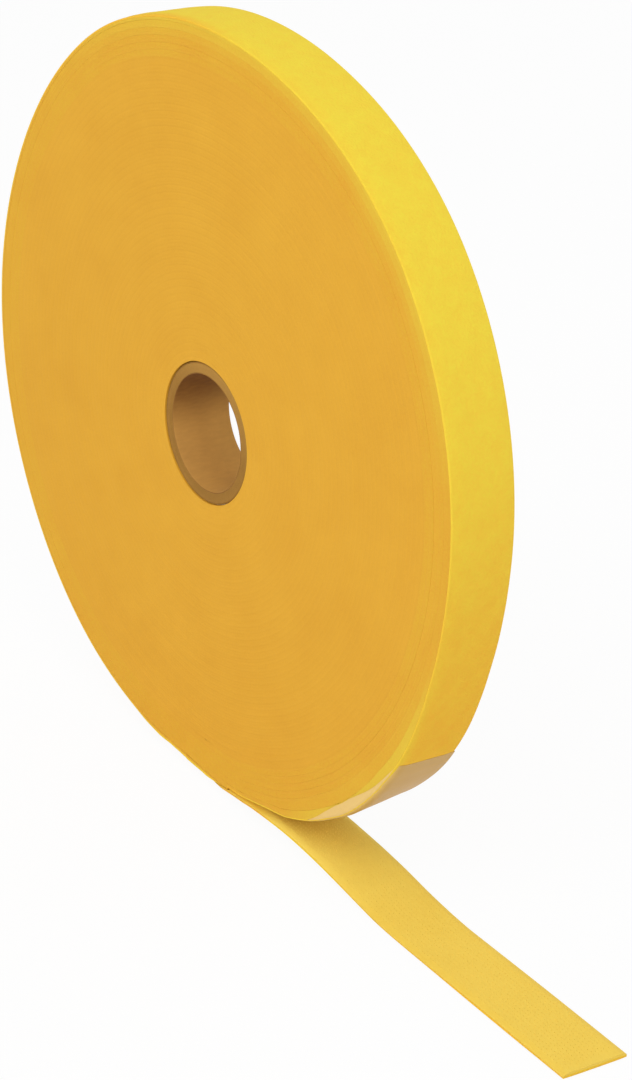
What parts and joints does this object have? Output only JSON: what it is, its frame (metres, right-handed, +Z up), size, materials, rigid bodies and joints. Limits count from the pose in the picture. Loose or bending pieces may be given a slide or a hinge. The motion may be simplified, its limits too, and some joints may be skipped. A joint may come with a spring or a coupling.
{
  "type": "hook and loop tape roll",
  "caption": "Yellow back-to-back hook and loop tape wound on a paperboard core, standing on its rim with a free tail laid out along the floor.",
  "frame": {"origin": "on the floor, straight below the roll's axis, in the middle of the tape's width", "axes": "+Z up; +X along the free tail; Y along the roll's axis, with the pictured face at -Y"},
  "size_m": [0.3551, 0.0257, 0.2762],
  "materials": {
    "kraft_liner": "smooth brown kraft paper",
    "paperboard": "matt brown paperboard, cut edge",
    "adhesive_film": "thin double-sided adhesive film",
    "packed_tape": "packed cut edges of woven tape",
    "hook_tape": "woven tape with rows of small hooks",
    "loop_tape": "soft brushed loop pile",
    "retaining_tape": "thin translucent beige adhesive tape"
  },
  "bodies": {
    "tail_foot": {"hook_tail_foot": "hook_tape", "loop_tail_foot": "loop_tape"},
    "roll": {"core_inner_liner": "kraft_liner", "core_board": "paperboard", "core_outer_wrap": "paperboard", "start_tape": "adhesive_film", "packed_turns": "packed_tape", "hook_outer_turns": "hook_tape", "loop_outer_turns": "loop_tape", "retaining_tape": "retaining_tape"},
    "tail_hump": {"hook_tail_hump": "hook_tape", "loop_tail_hump": "loop_tape"},
    "tail_end": {"hook_tail_end": "hook_tape", "loop_tail_end": "loop_tape"}
  },
  "joints": [
    {"name": "unwind", "type": "hinge", "parent": "tail_foot", "child": "roll", "pos_m": [0, 0, 0.1385], "axis": [0, -1, 0], "range_deg": [0, 270]},
    {"name": "tail_lift", "type": "hinge", "parent": "tail_foot", "child": "tail_hump", "pos_m": [0.03429, 0, 0.00105], "axis": [0, -1, 0], "range_deg": [-60, 5], "stiffness_Nm_per_rad": 0.001},
    {"name": "tail_bend", "type": "hinge", "parent": "tail_hump", "child": "tail_end", "pos_m": [0.11829, 0, 0.00105], "axis": [0, -1, 0], "range_deg": [-60, 60], "stiffness_Nm_per_rad": 0.001}
  ]
}
